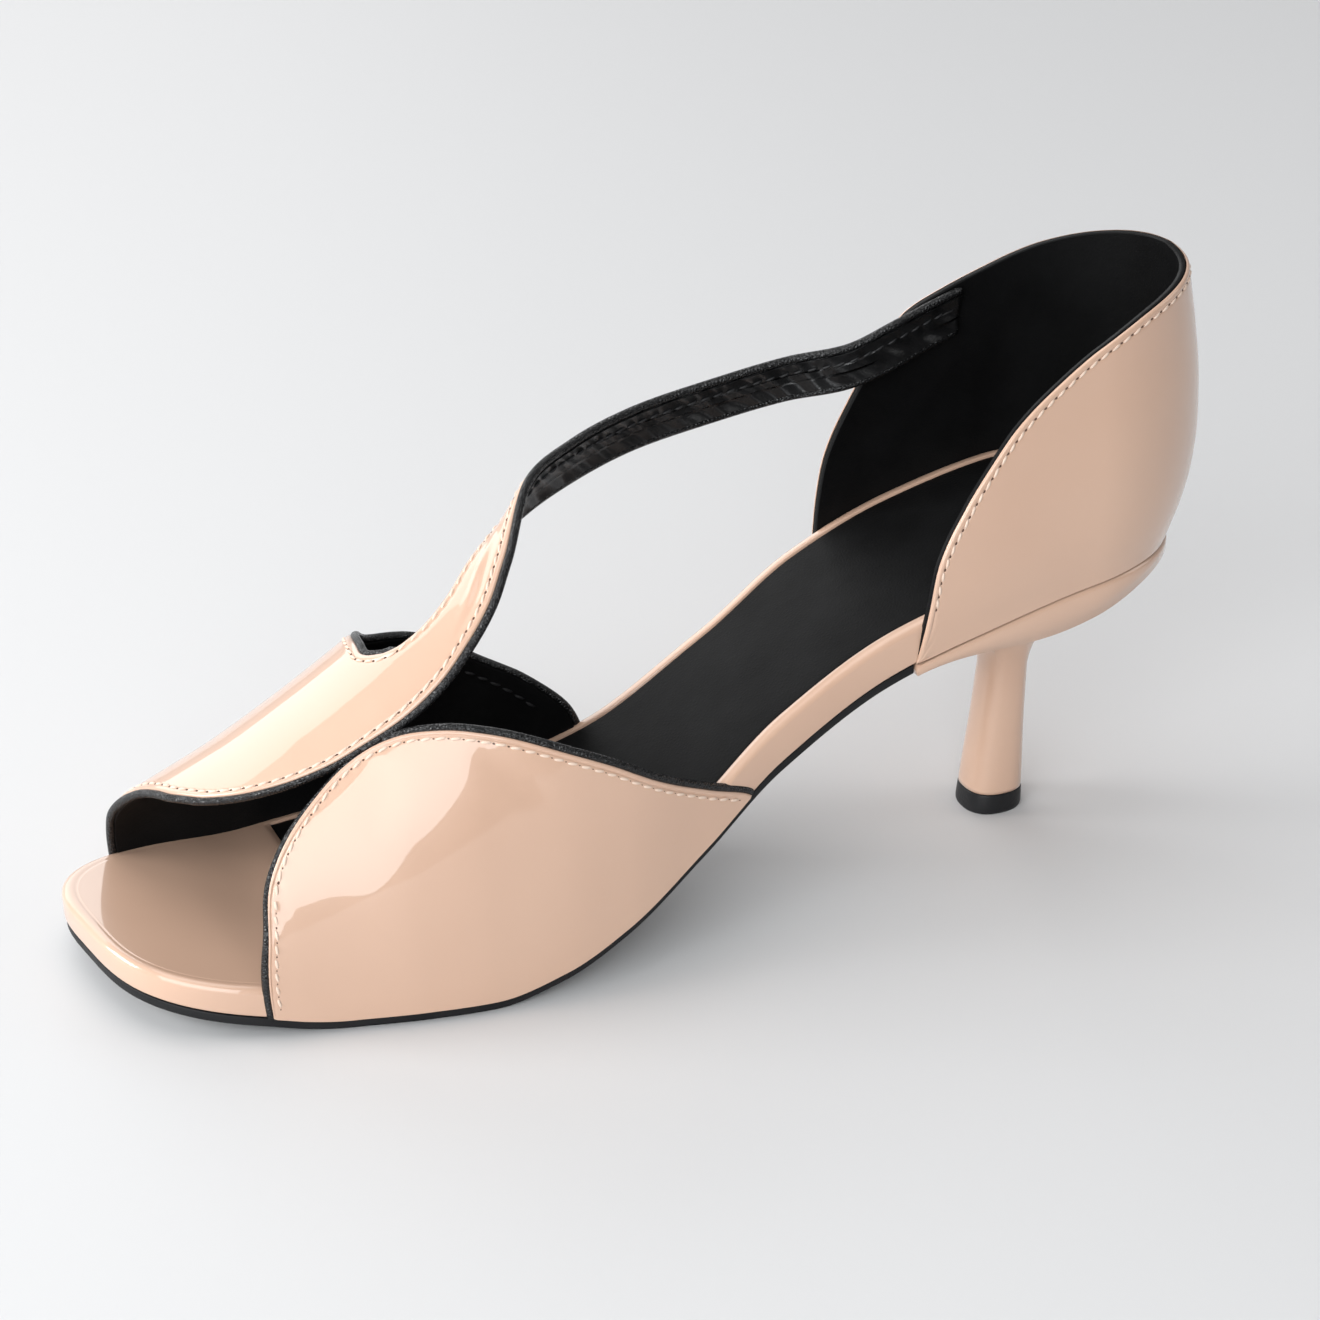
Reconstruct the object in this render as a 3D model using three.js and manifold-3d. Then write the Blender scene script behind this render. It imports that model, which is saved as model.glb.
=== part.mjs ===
import * as THREE from 'three';
import { mergeVertices } from 'three/addons/utils/BufferGeometryUtils.js';
import Module from 'manifold-3d';

const wasm = await Module();
wasm.setup();

// A heeled peep-toe sandal, left shoe, in millimetres.
// While it is drawn, x runs from the back of the heel seat to the toe, y to the wearer's left, which
// is the outer side, and z up from the floor. Tables hold shares of the named sizes.

// Sole
const SOLE_LENGTH = 222;
const BALL_WIDTH = 72;
const HEEL_RISE = 58;
const TOE_SPRING = 6;
const OUTSOLE_THICKNESS = 2;
const OUTSOLE_INSET = 1.2;
const PLATFORM_THICKNESS = 8;
const PLATFORM_ROUNDING = 1.6;
const PLATFORM_INSET = 0.8;
const INSOCK_THICKNESS = 1;
const RECESS_DEPTH = 1.6;
const RIM_WIDTH = 2.6;
const INSOCK_LENGTH = 180;
const CLEARANCE = 0.3;

// Upper
const WALL = 2;
const LINING = 1.2;
const LINING_EDGE = 1.4;
const INSTEP_HEIGHT = 62;
const OUTER_WING_TOP = 0.345;
const NOTCH_PLACE = 0.54;
const NECK_WIDTH = 34;
const STRAP_WIDTH = 8;
const STRAP_CAMBER = 0.5;

// Heel counter, as long as the heel's seat
const COUNTER_HEIGHT = 56;
const COUNTER_BULGE = 6.8;
const COUNTER_LEAN = 2.6;

// Heel
const SEAT_LENGTH = 65;
const SEAT_DROP = 5;
const COLUMN_PLACE = 34.2;
const COLUMN_LENGTH = 12.6;
const COLUMN_WIDTH = 12.6;
const WAIST_HEIGHT = 31;
const TIP_HEIGHT = 4.4;
const FLARE_BACK = 2;
const FLARE_FRONT = 3.4;

// Rounding of the outline's ends, of the last and of the heel column
const HEEL_END = 27;
const TOE_END = 31;
const HEEL_ROUNDNESS = 2.15;
const TOE_ROUNDNESS = 3.4;
const TOE_SLANT = 0.14;
const LAST_ROUNDNESS = 2.2;
const COLUMN_ROUNDNESS = 2.4;

// Sole sections: place along the length, rise and spring of the underside, half widths of the outer
// and the inner side as shares of half the ball width, and the platform's thickness.
const SOLE = [
  { at: 0.00, rise: 1.000, spring: 0.0, outer: 0.654, inner: 0.681, band: 1.00 },
  { at: 0.06, rise: 0.993, spring: 0.0, outer: 0.665, inner: 0.695, band: 1.00 },
  { at: 0.12, rise: 0.970, spring: 0.0, outer: 0.683, inner: 0.705, band: 1.00 },
  { at: 0.22, rise: 0.893, spring: 0.0, outer: 0.700, inner: 0.689, band: 1.00 },
  { at: 0.32, rise: 0.769, spring: 0.0, outer: 0.672, inner: 0.606, band: 1.03 },
  { at: 0.42, rise: 0.559, spring: 0.0, outer: 0.700, inner: 0.483, band: 1.10 },
  { at: 0.50, rise: 0.338, spring: 0.0, outer: 0.794, inner: 0.528, band: 1.15 },
  { at: 0.58, rise: 0.148, spring: 0.0, outer: 0.900, inner: 0.749, band: 1.12 },
  { at: 0.64, rise: 0.050, spring: 0.0, outer: 0.933, inner: 0.961, band: 1.07 },
  { at: 0.70, rise: 0.000, spring: 0.0, outer: 0.922, inner: 1.083, band: 1.00 },
  { at: 0.76, rise: 0.000, spring: 0.0, outer: 0.867, inner: 1.095, band: 0.92 },
  { at: 0.82, rise: 0.000, spring: 0.0, outer: 0.778, inner: 1.078, band: 0.84 },
  { at: 0.90, rise: 0.000, spring: 0.4, outer: 0.667, inner: 1.028, band: 0.76 },
  { at: 1.00, rise: 0.000, spring: 1.0, outer: 0.528, inner: 0.917, band: 0.70 },
];

// Ridge of the last: place along the length, height above the floor as a share of the instep height,
// and shift to the side as a share of half the ball width.
const RIDGE = [
  { at: 0.400, height: 1.822, shift: 0.084 },
  { at: 0.500, height: 1.580, shift: 0.070 },
  { at: 0.580, height: 1.403, shift: 0.042 },
  { at: 0.660, height: 1.200, shift: 0.014 },
  { at: 0.745, height: 0.968, shift: -0.027 },
  { at: 0.790, height: 0.850, shift: -0.056 },
  { at: 0.830, height: 0.760, shift: -0.083 },
  { at: 0.880, height: 0.655, shift: -0.111 },
  { at: 0.930, height: 0.560, shift: -0.139 },
  { at: 0.980, height: 0.452, shift: -0.167 },
];

// Edges of the vamp: place around the last, from 0 at the outer sole edge over the top to 1 at the
// inner one, with the front and the back edge along the length.
const OUTER_WING = [
  { round: 0.000, front: 0.888, back: 0.450 },
  { round: 0.050, front: 0.894, back: 0.494 },
  { round: 0.100, front: 0.892, back: 0.538 },
  { round: 0.160, front: 0.886, back: 0.589 },
  { round: 0.220, front: 0.878, back: 0.640 },
  { round: 0.260, front: 0.868, back: 0.671 },
  { round: 0.300, front: 0.850, back: 0.703 },
  { round: 0.330, front: 0.826, back: 0.734 },
  { round: 0.345, front: 0.806, back: 0.754 },
];
const NECK = [
  { round: 0.345, front: 0.806 },
  { round: 0.385, front: 0.845 },
  { round: 0.430, front: 0.872 },
  { round: 0.490, front: 0.898 },
  { round: 0.540, front: 0.911 },
];
const INNER_WING = [
  { round: 0.540, front: 0.911, back: 0.759 },
  { round: 0.590, front: 0.917, back: 0.745 },
  { round: 0.660, front: 0.923, back: 0.724 },
  { round: 0.730, front: 0.930, back: 0.699 },
  { round: 0.800, front: 0.933, back: 0.667 },
  { round: 0.860, front: 0.932, back: 0.626 },
  { round: 0.910, front: 0.931, back: 0.581 },
  { round: 0.950, front: 0.930, back: 0.548 },
  { round: 1.000, front: 0.928, back: 0.520 },
];

// Strap over the instep: both edges on the last, as places along the length and around it.
const INSTEP_STRAP = [
  { upAt: 0.754, upRound: 0.345, lowAt: 0.759, lowRound: 0.540 },
  { upAt: 0.738, upRound: 0.347, lowAt: 0.748, lowRound: 0.502 },
  { upAt: 0.715, upRound: 0.356, lowAt: 0.730, lowRound: 0.486 },
  { upAt: 0.690, upRound: 0.382, lowAt: 0.708, lowRound: 0.484 },
  { upAt: 0.662, upRound: 0.420, lowAt: 0.682, lowRound: 0.500 },
  { upAt: 0.638, upRound: 0.474, lowAt: 0.655, lowRound: 0.530 },
];

// Strap along the ankle: place along the length, and for both edges the distance to the inner side
// and the height, as shares of half the ball width and of the instep height.
const ANKLE_STRAP = [
  { at: 0.585, upSide: 0.243, upHeight: 1.385, lowSide: 0.327, lowHeight: 1.262 },
  { at: 0.532, upSide: 0.464, upHeight: 1.415, lowSide: 0.512, lowHeight: 1.287 },
  { at: 0.464, upSide: 0.644, upHeight: 1.437, lowSide: 0.676, lowHeight: 1.313 },
  { at: 0.387, upSide: 0.697, upHeight: 1.468, lowSide: 0.726, lowHeight: 1.344 },
  { at: 0.315, upSide: 0.663, upHeight: 1.510, lowSide: 0.692, lowHeight: 1.384 },
  { at: 0.263, upSide: 0.533, upHeight: 1.555, lowSide: 0.549, lowHeight: 1.428 },
];

// Strap's end inside the counter: place along the counter and height of its middle.
const STRAP_END = [
  { at: 0.840, height: 0.660 },
  { at: 0.750, height: 0.692 },
  { at: 0.660, height: 0.718 },
];

// Counter's profile over its height: how far it stands out at the back and at the sides.
const COUNTER_PROFILE = [
  { height: 0.00, back: 0.00, side: 0.00 },
  { height: 0.06, back: 0.30, side: 0.22 },
  { height: 0.14, back: 0.62, side: 0.50 },
  { height: 0.24, back: 0.87, side: 0.66 },
  { height: 0.38, back: 1.00, side: 0.58 },
  { height: 0.54, back: 0.95, side: 0.20 },
  { height: 0.76, back: 0.68, side: -0.50 },
  { height: 1.00, back: 0.24, side: -1.00 },
];

// Counter's top edge: place from the back to its front, and the height on the outer and inner side.
const COUNTER_EDGE = [
  { at: 0.00, outer: 1.000, inner: 1.000 },
  { at: 0.12, outer: 0.991, inner: 0.991 },
  { at: 0.30, outer: 0.963, inner: 0.963 },
  { at: 0.45, outer: 0.921, inner: 0.924 },
  { at: 0.60, outer: 0.839, inner: 0.861 },
  { at: 0.72, outer: 0.737, inner: 0.805 },
  { at: 0.80, outer: 0.649, inner: 0.755 },
  { at: 0.86, outer: 0.553, inner: 0.640 },
  { at: 0.92, outer: 0.436, inner: 0.490 },
  { at: 0.97, outer: 0.297, inner: 0.320 },
  { at: 1.00, outer: 0.000, inner: 0.000 },
];

// Heel column from the floor to its waist: length, width, and shift along the shoe.
const COLUMN = [
  { height: 0.00, length: 1.00, width: 1.00, shift: 0.00 },
  { height: 0.30, length: 0.93, width: 0.95, shift: -0.04 },
  { height: 0.65, length: 0.81, width: 0.88, shift: -0.09 },
  { height: 1.00, length: 0.74, width: 0.83, shift: -0.14 },
];

// Materials
const nudePatent = new THREE.MeshStandardMaterial({ color: 0xe3bfa4, roughness: 0.12, metalness: 0 });
const blackLeather = new THREE.MeshStandardMaterial({ color: 0x1b1a1b, roughness: 0.5, metalness: 0 });
const blackRubber = new THREE.MeshStandardMaterial({ color: 0x141415, roughness: 0.6, metalness: 0 });

const { lerp, clamp, smoothstep } = THREE.MathUtils;
const HALF_BALL = BALL_WIDTH / 2;

// Smooth curve through one column of a table, without overshoot
function curve(rows, key, column, place) {
  const last = rows.length - 1;
  const secant = (k) => (rows[k + 1][column] - rows[k][column]) / (rows[k + 1][key] - rows[k][key]);
  const slope = (k) => {
    if (k === 0) return secant(0);
    if (k === last) return secant(last - 1);
    const before = secant(k - 1);
    const after = secant(k);
    return before * after > 0 ? (2 * before * after) / (before + after) : 0;
  };
  let i = 0;
  while (i < last - 1 && place > rows[i + 1][key]) i += 1;
  const gap = rows[i + 1][key] - rows[i][key];
  const t = clamp((place - rows[i][key]) / gap, 0, 1);
  const rise = t * t * (3 - 2 * t);
  const bend = slope(i) * t * (1 - t) * (1 - t) - slope(i + 1) * t * t * (1 - t);
  return lerp(rows[i][column], rows[i + 1][column], rise) + gap * bend;
}

// Levels of the stack, from the floor up
const soleValue = (x, column) => curve(SOLE, 'at', column, x / SOLE_LENGTH);
const soleUnderside = (x) => HEEL_RISE * soleValue(x, 'rise') + TOE_SPRING * soleValue(x, 'spring');
const soleTop = (x) => soleUnderside(x) + OUTSOLE_THICKNESS;
const platformUnderside = (x) => soleTop(x) + CLEARANCE;
const platformTop = (x) => platformUnderside(x) + PLATFORM_THICKNESS * soleValue(x, 'band');

// Outline of the sole at x, as y of the outer and the inner side, moved out by the outset
function outline(x, outset = 0) {
  const outer = HALF_BALL * soleValue(x, 'outer');
  const inner = HALF_BALL * soleValue(x, 'inner');
  const toHeel = clamp((HEEL_END - x) / (HEEL_END + outset), 0, 1);
  const toToe = clamp((x - (SOLE_LENGTH - TOE_END)) / (TOE_END + outset), 0, 1);
  const heelRound = (1 - toHeel ** HEEL_ROUNDNESS) ** (1 / HEEL_ROUNDNESS);
  const toeRound = (1 - toToe ** TOE_ROUNDNESS) ** (1 / TOE_ROUNDNESS);
  const middle = (outer - inner) / 2;
  const half = ((outer + inner) / 2 + outset) * heelRound * toeRound;
  return { outer: middle + half, inner: middle - half };
}

// The toe runs a little further forward on the inner side
function slanted(x, y, z) {
  const toToe = clamp((x - (SOLE_LENGTH - TOE_END)) / TOE_END, 0, 1);
  return new THREE.Vector3(x - TOE_SLANT * y * toToe, y, z);
}

// The platform stands back from the sole's edge, and further where the upper or the counter covers it
const FOOT_BLEND = 6;
const COVERED_INSET = WALL + 4 * CLEARANCE;
const outerFoot = OUTER_WING[0];
const innerFoot = INNER_WING[INNER_WING.length - 1];
function platformInset(x, foot) {
  const back = SOLE_LENGTH * foot.back;
  const front = SOLE_LENGTH * foot.front + COVERED_INSET;
  const vamp = smoothstep(x, back - FOOT_BLEND, back) * (1 - smoothstep(x, front, front + FOOT_BLEND));
  const counter = 1 - smoothstep(x, SEAT_LENGTH + WALL, SEAT_LENGTH + FOOT_BLEND);
  return lerp(PLATFORM_INSET, COVERED_INSET, Math.max(vamp, counter));
}

// Geometry of a closed body: shared points merged, empty faces dropped, faces turned outward
const MERGE_DISTANCE = 1e-3;
function closedGeometry(points, faces) {
  const raw = new THREE.BufferGeometry();
  raw.setAttribute('position', new THREE.Float32BufferAttribute(points.flatMap((p) => [...p]), 3));
  raw.setIndex(faces.flat());
  const merged = mergeVertices(raw, MERGE_DISTANCE);
  const index = merged.index.array;
  const position = merged.attributes.position;
  const corner = [new THREE.Vector3(), new THREE.Vector3(), new THREE.Vector3()];
  const kept = [];
  let volume = 0;
  for (let i = 0; i < index.length; i += 3) {
    const face = [index[i], index[i + 1], index[i + 2]];
    if (new Set(face).size < 3) continue;
    kept.push(face);
    face.forEach((k, n) => corner[n].fromBufferAttribute(position, k));
    volume += corner[0].dot(corner[1].cross(corner[2]));
  }
  merged.setIndex(kept.flatMap(([a, b, c]) => (volume > 0 ? [a, b, c] : [a, c, b])));
  return merged;
}

// Solid for joining and cutting, and back
function toSolid(geometry) {
  return new wasm.Manifold(new wasm.Mesh({
    numProp: 3,
    vertProperties: Float32Array.from(geometry.attributes.position.array),
    triVerts: Uint32Array.from(geometry.index.array),
  }));
}

function toGeometry(solid) {
  const mesh = solid.getMesh();
  const geometry = new THREE.BufferGeometry();
  geometry.setAttribute('position', new THREE.Float32BufferAttribute(mesh.vertProperties, mesh.numProp));
  geometry.setIndex(Array.from(mesh.triVerts));
  return geometry;
}

// Wall between pairs of grids: each sheet has an outer and an inner grid of points, and sheets that
// share an edge join there. The open edges of the whole are closed with strips.
function wallBetween(sheets) {
  const numbers = new Map();
  const outside = [];
  const inside = [];
  const number = (outer, inner) => {
    const key = [...outer, ...inner].map((c) => Math.round(c / MERGE_DISTANCE)).join(' ');
    if (!numbers.has(key)) {
      numbers.set(key, outside.length);
      outside.push(outer);
      inside.push(inner);
    }
    return numbers.get(key);
  };
  const faces = [];
  sheets.forEach(({ outer, inner }) => {
    for (let i = 0; i < outer.length - 1; i += 1) {
      for (let j = 0; j < outer[0].length - 1; j += 1) {
        const corners = [[i, j], [i + 1, j], [i + 1, j + 1], [i, j + 1]];
        const [a, b, c, d] = corners.map(([m, n]) => number(outer[m][n], inner[m][n]));
        faces.push([a, b, c], [a, c, d]);
      }
    }
  });
  const real = faces.filter((face) => new Set(face).size === 3);
  const open = new Map();
  real.forEach(([a, b, c]) => [[a, b], [b, c], [c, a]].forEach(([m, n]) => {
    if (!open.delete(`${n} ${m}`)) open.set(`${m} ${n}`, [m, n]);
  }));
  const count = outside.length;
  const all = [...real, ...real.map(([a, b, c]) => [a + count, c + count, b + count])];
  open.forEach(([m, n]) => all.push([n, m, m + count], [n, m + count, n + count]));
  return closedGeometry([...outside, ...inside], all);
}

// Layer of the sole between two levels. The inset is taken from the sole's outline, and the rounding
// takes the upper corner off.
const ACROSS = 3;
function soleLayer({ from, to, bottom, top, inset, rounding = 0, stations = 60 }) {
  const corner = rounding > 0 ? [0, 0.33, 0.66, 1] : [0];
  const over = [];
  const under = [];
  for (let i = 0; i <= stations; i += 1) {
    const x = lerp(from, to, (1 - Math.cos((Math.PI * i) / stations)) / 2);
    const { outer } = outline(x, -inset(x, outerFoot));
    const { inner } = outline(x, -inset(x, innerFoot));
    const round = Math.min(rounding, (outer - inner) / 4);
    const drops = corner.map((share) => {
      const angle = (Math.PI / 2) * share;
      return { side: round * (1 - Math.cos(angle)), down: rounding * (1 - Math.sin(angle)) };
    });
    const row = drops.map(({ side, down }) => slanted(x, outer - side, top(x) - down));
    for (let j = 1; j < ACROSS; j += 1) {
      row.push(slanted(x, lerp(outer - drops.at(-1).side, inner + drops.at(-1).side, j / ACROSS), top(x)));
    }
    row.push(...drops.toReversed().map(({ side, down }) => slanted(x, inner + side, top(x) - down)));
    over.push(row);
    under.push(row.map((p, j) => slanted(x, lerp(outer, inner, j / (row.length - 1)), bottom(x))));
  }
  return wallBetween([{ outer: over, inner: under }]);
}

// Outsole: thin, from under the breast of the heel to the toe
function outsole() {
  return soleLayer({
    from: SEAT_LENGTH + CLEARANCE,
    to: SOLE_LENGTH - OUTSOLE_INSET,
    bottom: soleUnderside,
    top: soleTop,
    inset: () => OUTSOLE_INSET,
  });
}

// Platform that the foot stands on, sunk inside its rim for the insock
function platform() {
  const body = soleLayer({
    from: COVERED_INSET,
    to: SOLE_LENGTH - PLATFORM_INSET,
    bottom: platformUnderside,
    top: platformTop,
    inset: platformInset,
    rounding: PLATFORM_ROUNDING,
  });
  const recess = soleLayer({
    from: COVERED_INSET + RIM_WIDTH,
    to: INSOCK_LENGTH,
    bottom: (x) => platformTop(x) - RECESS_DEPTH,
    top: (x) => platformTop(x) + RECESS_DEPTH,
    inset: (x, foot) => platformInset(x, foot) + RIM_WIDTH,
  });
  return toGeometry(toSolid(body).subtract(toSolid(recess)));
}

// Insock: thin leather sheet in the platform's recess
function insock() {
  const underside = (x) => platformTop(x) - RECESS_DEPTH + CLEARANCE;
  return soleLayer({
    from: COVERED_INSET + RIM_WIDTH + CLEARANCE,
    to: INSOCK_LENGTH - CLEARANCE,
    bottom: underside,
    top: (x) => underside(x) + INSOCK_THICKNESS,
    inset: (x, foot) => platformInset(x, foot) + RIM_WIDTH + CLEARANCE,
  });
}

// Point of the last's skin: x along the shoe, round from 0 at the outer sole edge over the top to 1 at
// the inner one, and depth of the point inside the upper's outer face.
function lastPoint(x, round, depth) {
  const edges = outline(x, -CLEARANCE - depth);
  const top = INSTEP_HEIGHT * curve(RIDGE, 'at', 'height', x / SOLE_LENGTH) - depth;
  const middle = HALF_BALL * curve(RIDGE, 'at', 'shift', x / SOLE_LENGTH);
  const foot = platformUnderside(x);
  const shoulder = platformTop(x);
  const z = lerp(foot, top, Math.sin(Math.PI * round) ** (2 / LAST_ROUNDNESS));
  const up = clamp((z - shoulder) / (top - shoulder), 0, 1);
  const across = (1 - up ** LAST_ROUNDNESS) ** (1 / LAST_ROUNDNESS);
  return slanted(x, lerp(middle, round < 0.5 ? edges.outer : edges.inner, across), z);
}

// Places across a wall as shares of the way. Near an edge that is trimmed only the lining goes on.
function placesAcross(length, steps, trimStart, trimEnd) {
  const trim = Math.min(LINING_EDGE, length / 4) / length;
  const from = trimStart ? trim : 0;
  const to = trimEnd ? 1 - trim : 1;
  const places = Array.from({ length: steps + 1 }, (_, k) => ({ share: lerp(from, to, k / steps) }));
  places.forEach((place) => Object.assign(place, { full: true }));
  if (trimStart) places.unshift({ share: 0, full: false }, { share: trim, full: false });
  if (trimEnd) places.push({ share: 1 - trim, full: false }, { share: 1, full: false });
  return places;
}
const depthAt = (full) => (full ? 0 : WALL - LINING);

// Vamp: both wings and the panel over the instep, as rows around the last
const WING_ROWS = 13;
const NECK_STEPS = 5;
const VAMP_STEPS = 12;
const neckPlaces = placesAcross(NECK_WIDTH, NECK_STEPS, true, true);
function vamp() {
  const rows = [];
  for (let k = 0; k <= WING_ROWS; k += 1) {
    const round = (OUTER_WING_TOP * k) / WING_ROWS;
    const back = curve(OUTER_WING, 'round', 'back', round);
    rows.push({ round, front: curve(OUTER_WING, 'round', 'front', round), back, free: true });
  }
  neckPlaces.forEach(({ share, full }) => {
    const round = lerp(OUTER_WING_TOP, NOTCH_PLACE, share);
    const back = lerp(INSTEP_STRAP[0].upAt, INSTEP_STRAP[0].lowAt, share);
    rows.push({ round, front: curve(NECK, 'round', 'front', round), back, free: !full });
  });
  for (let k = 0; k <= WING_ROWS; k += 1) {
    const round = lerp(NOTCH_PLACE, 1, k / WING_ROWS);
    const back = curve(INNER_WING, 'round', 'back', round);
    rows.push({ round, front: curve(INNER_WING, 'round', 'front', round), back, free: true });
  }
  const outer = [];
  const inner = [];
  rows.forEach(({ round, front, back, free }) => {
    const places = placesAcross(SOLE_LENGTH * (front - back), VAMP_STEPS, true, true);
    const x = ({ share }) => SOLE_LENGTH * lerp(back, front, share);
    const covered = ({ share, full }) => full || (!free && share < 0.5);
    outer.push(places.map((place) => lastPoint(x(place), round, depthAt(covered(place)))));
    inner.push(places.map((place) => lastPoint(x(place), round, WALL)));
  });
  return { outer, inner };
}

// Strap from the vamp along the ankle to the counter, as rows across its width
const STRAP_ROWS = 30;
function strap() {
  const up = [];
  const low = [];
  INSTEP_STRAP.forEach((row) => {
    up.push(lastPoint(SOLE_LENGTH * row.upAt, row.upRound, WALL));
    low.push(lastPoint(SOLE_LENGTH * row.lowAt, row.lowRound, WALL));
  });
  ANKLE_STRAP.forEach((row) => {
    const x = SOLE_LENGTH * row.at;
    up.push(new THREE.Vector3(x, -HALF_BALL * row.upSide, INSTEP_HEIGHT * row.upHeight));
    low.push(new THREE.Vector3(x, -HALF_BALL * row.lowSide, INSTEP_HEIGHT * row.lowHeight));
  });
  STRAP_END.forEach((row) => {
    const half = STRAP_WIDTH / 2 / COUNTER_HEIGHT;
    const depth = 2 * WALL + 2 * CLEARANCE;
    up.push(counterPoint(-row.at, row.height + half, depth));
    low.push(counterPoint(-row.at, row.height - half, depth));
  });
  const upCurve = new THREE.CatmullRomCurve3(up, false, 'chordal');
  const lowCurve = new THREE.CatmullRomCurve3(low, false, 'chordal');
  const outer = [];
  const inner = [];
  for (let k = 0; k <= STRAP_ROWS; k += 1) {
    const t = k / STRAP_ROWS;
    const [a, b] = [upCurve.getPoint(t), lowCurve.getPoint(t)];
    const along = upCurve.getTangent(t).add(lowCurve.getTangent(t));
    const out = along.cross(b.clone().sub(a)).normalize();
    const camber = STRAP_CAMBER * (1 - t) * Math.min(1, 8 * t);
    const onVamp = k === 0;
    inner.push(neckPlaces.map(({ share }) => (onVamp ? neckPoint(share, WALL)
      : a.clone().lerp(b, share).addScaledVector(out, 4 * camber * share * (1 - share)))));
    outer.push(neckPlaces.map(({ share, full }, n) => (onVamp ? neckPoint(share, depthAt(full))
      : inner[k][n].clone().addScaledVector(out, WALL - depthAt(full)))));
  }
  return { outer, inner };
}

function neckPoint(share, depth) {
  const [start] = INSTEP_STRAP;
  const round = lerp(OUTER_WING_TOP, NOTCH_PLACE, share);
  return lastPoint(SOLE_LENGTH * lerp(start.upAt, start.lowAt, share), round, depth);
}

// Point of the counter: place from -1 at its inner front over 0 at the back to 1 at its outer front,
// level between the seat and the full height, and depth inside its outer face.
function counterPoint(place, level, depth) {
  const turn = (Math.PI / 2) * Math.abs(place);
  const inset = CLEARANCE + depth;
  const x = lerp(inset, SEAT_LENGTH, 1 - Math.cos(turn));
  const edges = outline(x, -inset);
  const foot = platformUnderside(x);
  const peak = platformUnderside(0) + COUNTER_HEIGHT;
  const z = lerp(foot, peak, level);
  const height = (z - foot) / COUNTER_HEIGHT;
  const back = COUNTER_BULGE * curve(COUNTER_PROFILE, 'height', 'back', height);
  const side = COUNTER_LEAN * curve(COUNTER_PROFILE, 'height', 'side', height);
  const behind = Math.cos(Math.min(1, 1.6 * Math.abs(place)) * (Math.PI / 2));
  const out = side * (1 - behind * behind);
  const y = place < 0 ? edges.inner - out : edges.outer + out;
  return new THREE.Vector3(x - back * behind * behind, place === 0 ? (edges.outer + edges.inner) / 2 : y, z);
}

// Counter: closed wall round the heel, highest at the back and sloping to its front
const COUNTER_COLUMNS = 20;
const COUNTER_STEPS = 8;
function counter() {
  const outer = [];
  const inner = [];
  for (let k = -COUNTER_COLUMNS; k <= COUNTER_COLUMNS; k += 1) {
    const place = k / COUNTER_COLUMNS;
    const peak = curve(COUNTER_EDGE, 'at', place < 0 ? 'inner' : 'outer', Math.abs(place));
    const places = placesAcross(Math.max(1, COUNTER_HEIGHT * peak), COUNTER_STEPS, false, true);
    const depth = ({ full }) => depthAt(full);
    outer.push(places.map((p) => counterPoint(place, peak * p.share, depth(p))));
    inner.push(places.map((p) => counterPoint(place, peak * p.share, WALL)));
  }
  return wallBetween([{ outer, inner }]);
}

// Solid loft through rings with equal counts of points, closed by fans
function loft(rings) {
  const count = rings[0].length;
  const points = rings.flat();
  const faces = [];
  for (let i = 0; i < rings.length - 1; i += 1) {
    for (let j = 0; j < count; j += 1) {
      const [a, b] = [i * count + j, i * count + ((j + 1) % count)];
      faces.push([a, b, b + count], [a, b + count, a + count]);
    }
  }
  const middle = (ring) => ring.reduce((sum, p) => sum.add(p), new THREE.Vector3()).divideScalar(count);
  points.push(middle(rings[0]), middle(rings.at(-1)));
  const [first, last] = [points.length - 2, points.length - 1];
  const end = (rings.length - 1) * count;
  for (let j = 0; j < count; j += 1) {
    const next = (j + 1) % count;
    faces.push([first, next, j], [last, end + j, end + next]);
  }
  return closedGeometry(points, faces);
}

// Directions of the heel's rings, taken from the seat's outline
const BREAST_POINTS = 4;
const SIDE_POINTS = 18;
function seatOutline() {
  const half = [];
  const breast = outline(SEAT_LENGTH);
  const middle = (breast.outer + breast.inner) / 2;
  for (let k = 0; k < BREAST_POINTS; k += 1) half.push({ x: SEAT_LENGTH, share: k / BREAST_POINTS });
  for (let k = 0; k <= SIDE_POINTS; k += 1) {
    half.push({ x: SEAT_LENGTH * Math.cos((Math.PI * k) / SIDE_POINTS / 2) ** 1.5, share: 1 });
  }
  const side = (name) => half.map(({ x, share }) => {
    const edge = outline(x)[name];
    return { x, y: lerp(share < 1 ? middle : edge, share < 1 ? breast[name] : edge, share) };
  });
  const outer = side('outer');
  const inner = side('inner').slice(1, -1).toReversed();
  return [...outer, ...inner];
}

// Ring of the column at a height, with a point in every direction of the seat's outline
function columnRing(seat, height, z) {
  const length = (COLUMN_LENGTH / 2) * curve(COLUMN, 'height', 'length', height);
  const width = (COLUMN_WIDTH / 2) * curve(COLUMN, 'height', 'width', height);
  const centre = COLUMN_PLACE + COLUMN_LENGTH * curve(COLUMN, 'height', 'shift', height);
  return seat.map(({ x, y }) => {
    const dx = (x - COLUMN_PLACE) / (SEAT_LENGTH / 2);
    const dy = y / (HALF_BALL * 0.686);
    const reach = (Math.abs(dx) ** COLUMN_ROUNDNESS + Math.abs(dy) ** COLUMN_ROUNDNESS) ** (1 / COLUMN_ROUNDNESS);
    return new THREE.Vector3(centre + (length * dx) / reach, (width * dy) / reach, z);
  });
}

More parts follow.
